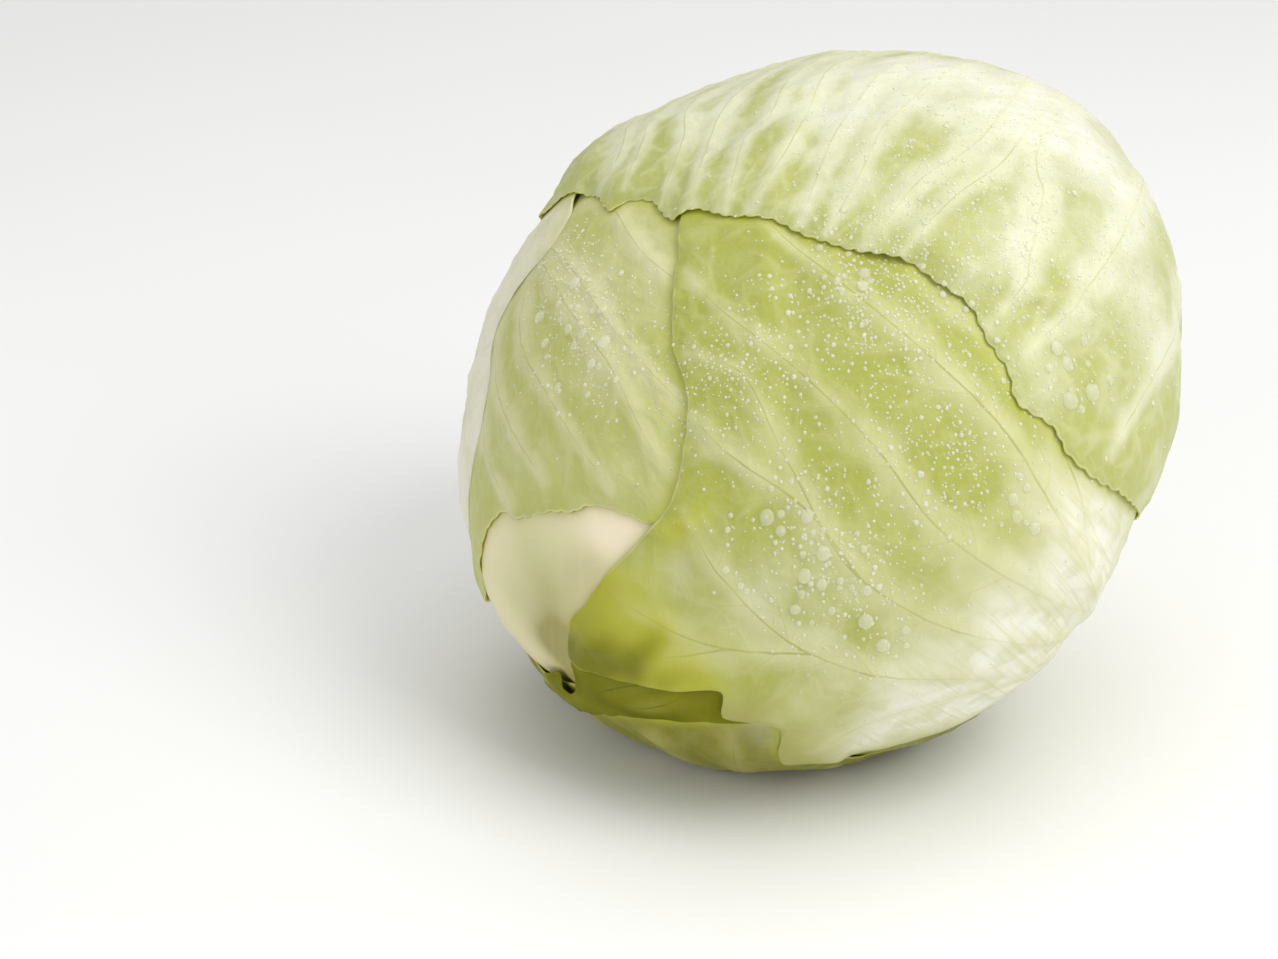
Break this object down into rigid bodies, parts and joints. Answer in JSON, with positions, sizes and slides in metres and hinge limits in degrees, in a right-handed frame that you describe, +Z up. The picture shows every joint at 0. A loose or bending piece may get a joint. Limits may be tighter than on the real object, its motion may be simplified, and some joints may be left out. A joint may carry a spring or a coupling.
{
  "type": "green cabbage",
  "caption": "Whole head of green cabbage lying tilted, with pale green wrapped leaves that overlap, waved margins, branching ribs and a cut stem.",
  "frame": {"origin": "centre of the bounding box's bottom, on the table under the head", "axes": "+Z up; -Y the side that faces the viewer; the stem points towards +X, back and down"},
  "size_m": [0.1657, 0.1694, 0.1507],
  "materials": {
    "inner_head": "dense cream leaf with a waxy sheen",
    "stem": "cut stem, matt cream",
    "under_leaf": "green leaf with a waxy sheen",
    "right_leaf": "pale green leaf with a waxy sheen",
    "back_leaf": "pale green leaf with a waxy sheen",
    "lower_leaf": "olive green leaf with a waxy sheen",
    "left_leaf": "light green leaf with pale ribs and a waxy sheen",
    "curled_leaf": "dark green leaf with a frilled margin",
    "front_leaf": "light green leaf with pale ribs and a waxy sheen",
    "cap_leaf": "light green leaf with pale ribs and a waxy sheen"
  },
  "bodies": {
    "root": {"inner_head": "inner_head", "stem": "stem", "under_leaf": "under_leaf", "right_leaf": "right_leaf", "back_leaf": "back_leaf", "lower_leaf": "lower_leaf", "left_leaf": "left_leaf", "curled_leaf": "curled_leaf", "front_leaf": "front_leaf", "cap_leaf": "cap_leaf"}
  },
  "joints": []
}
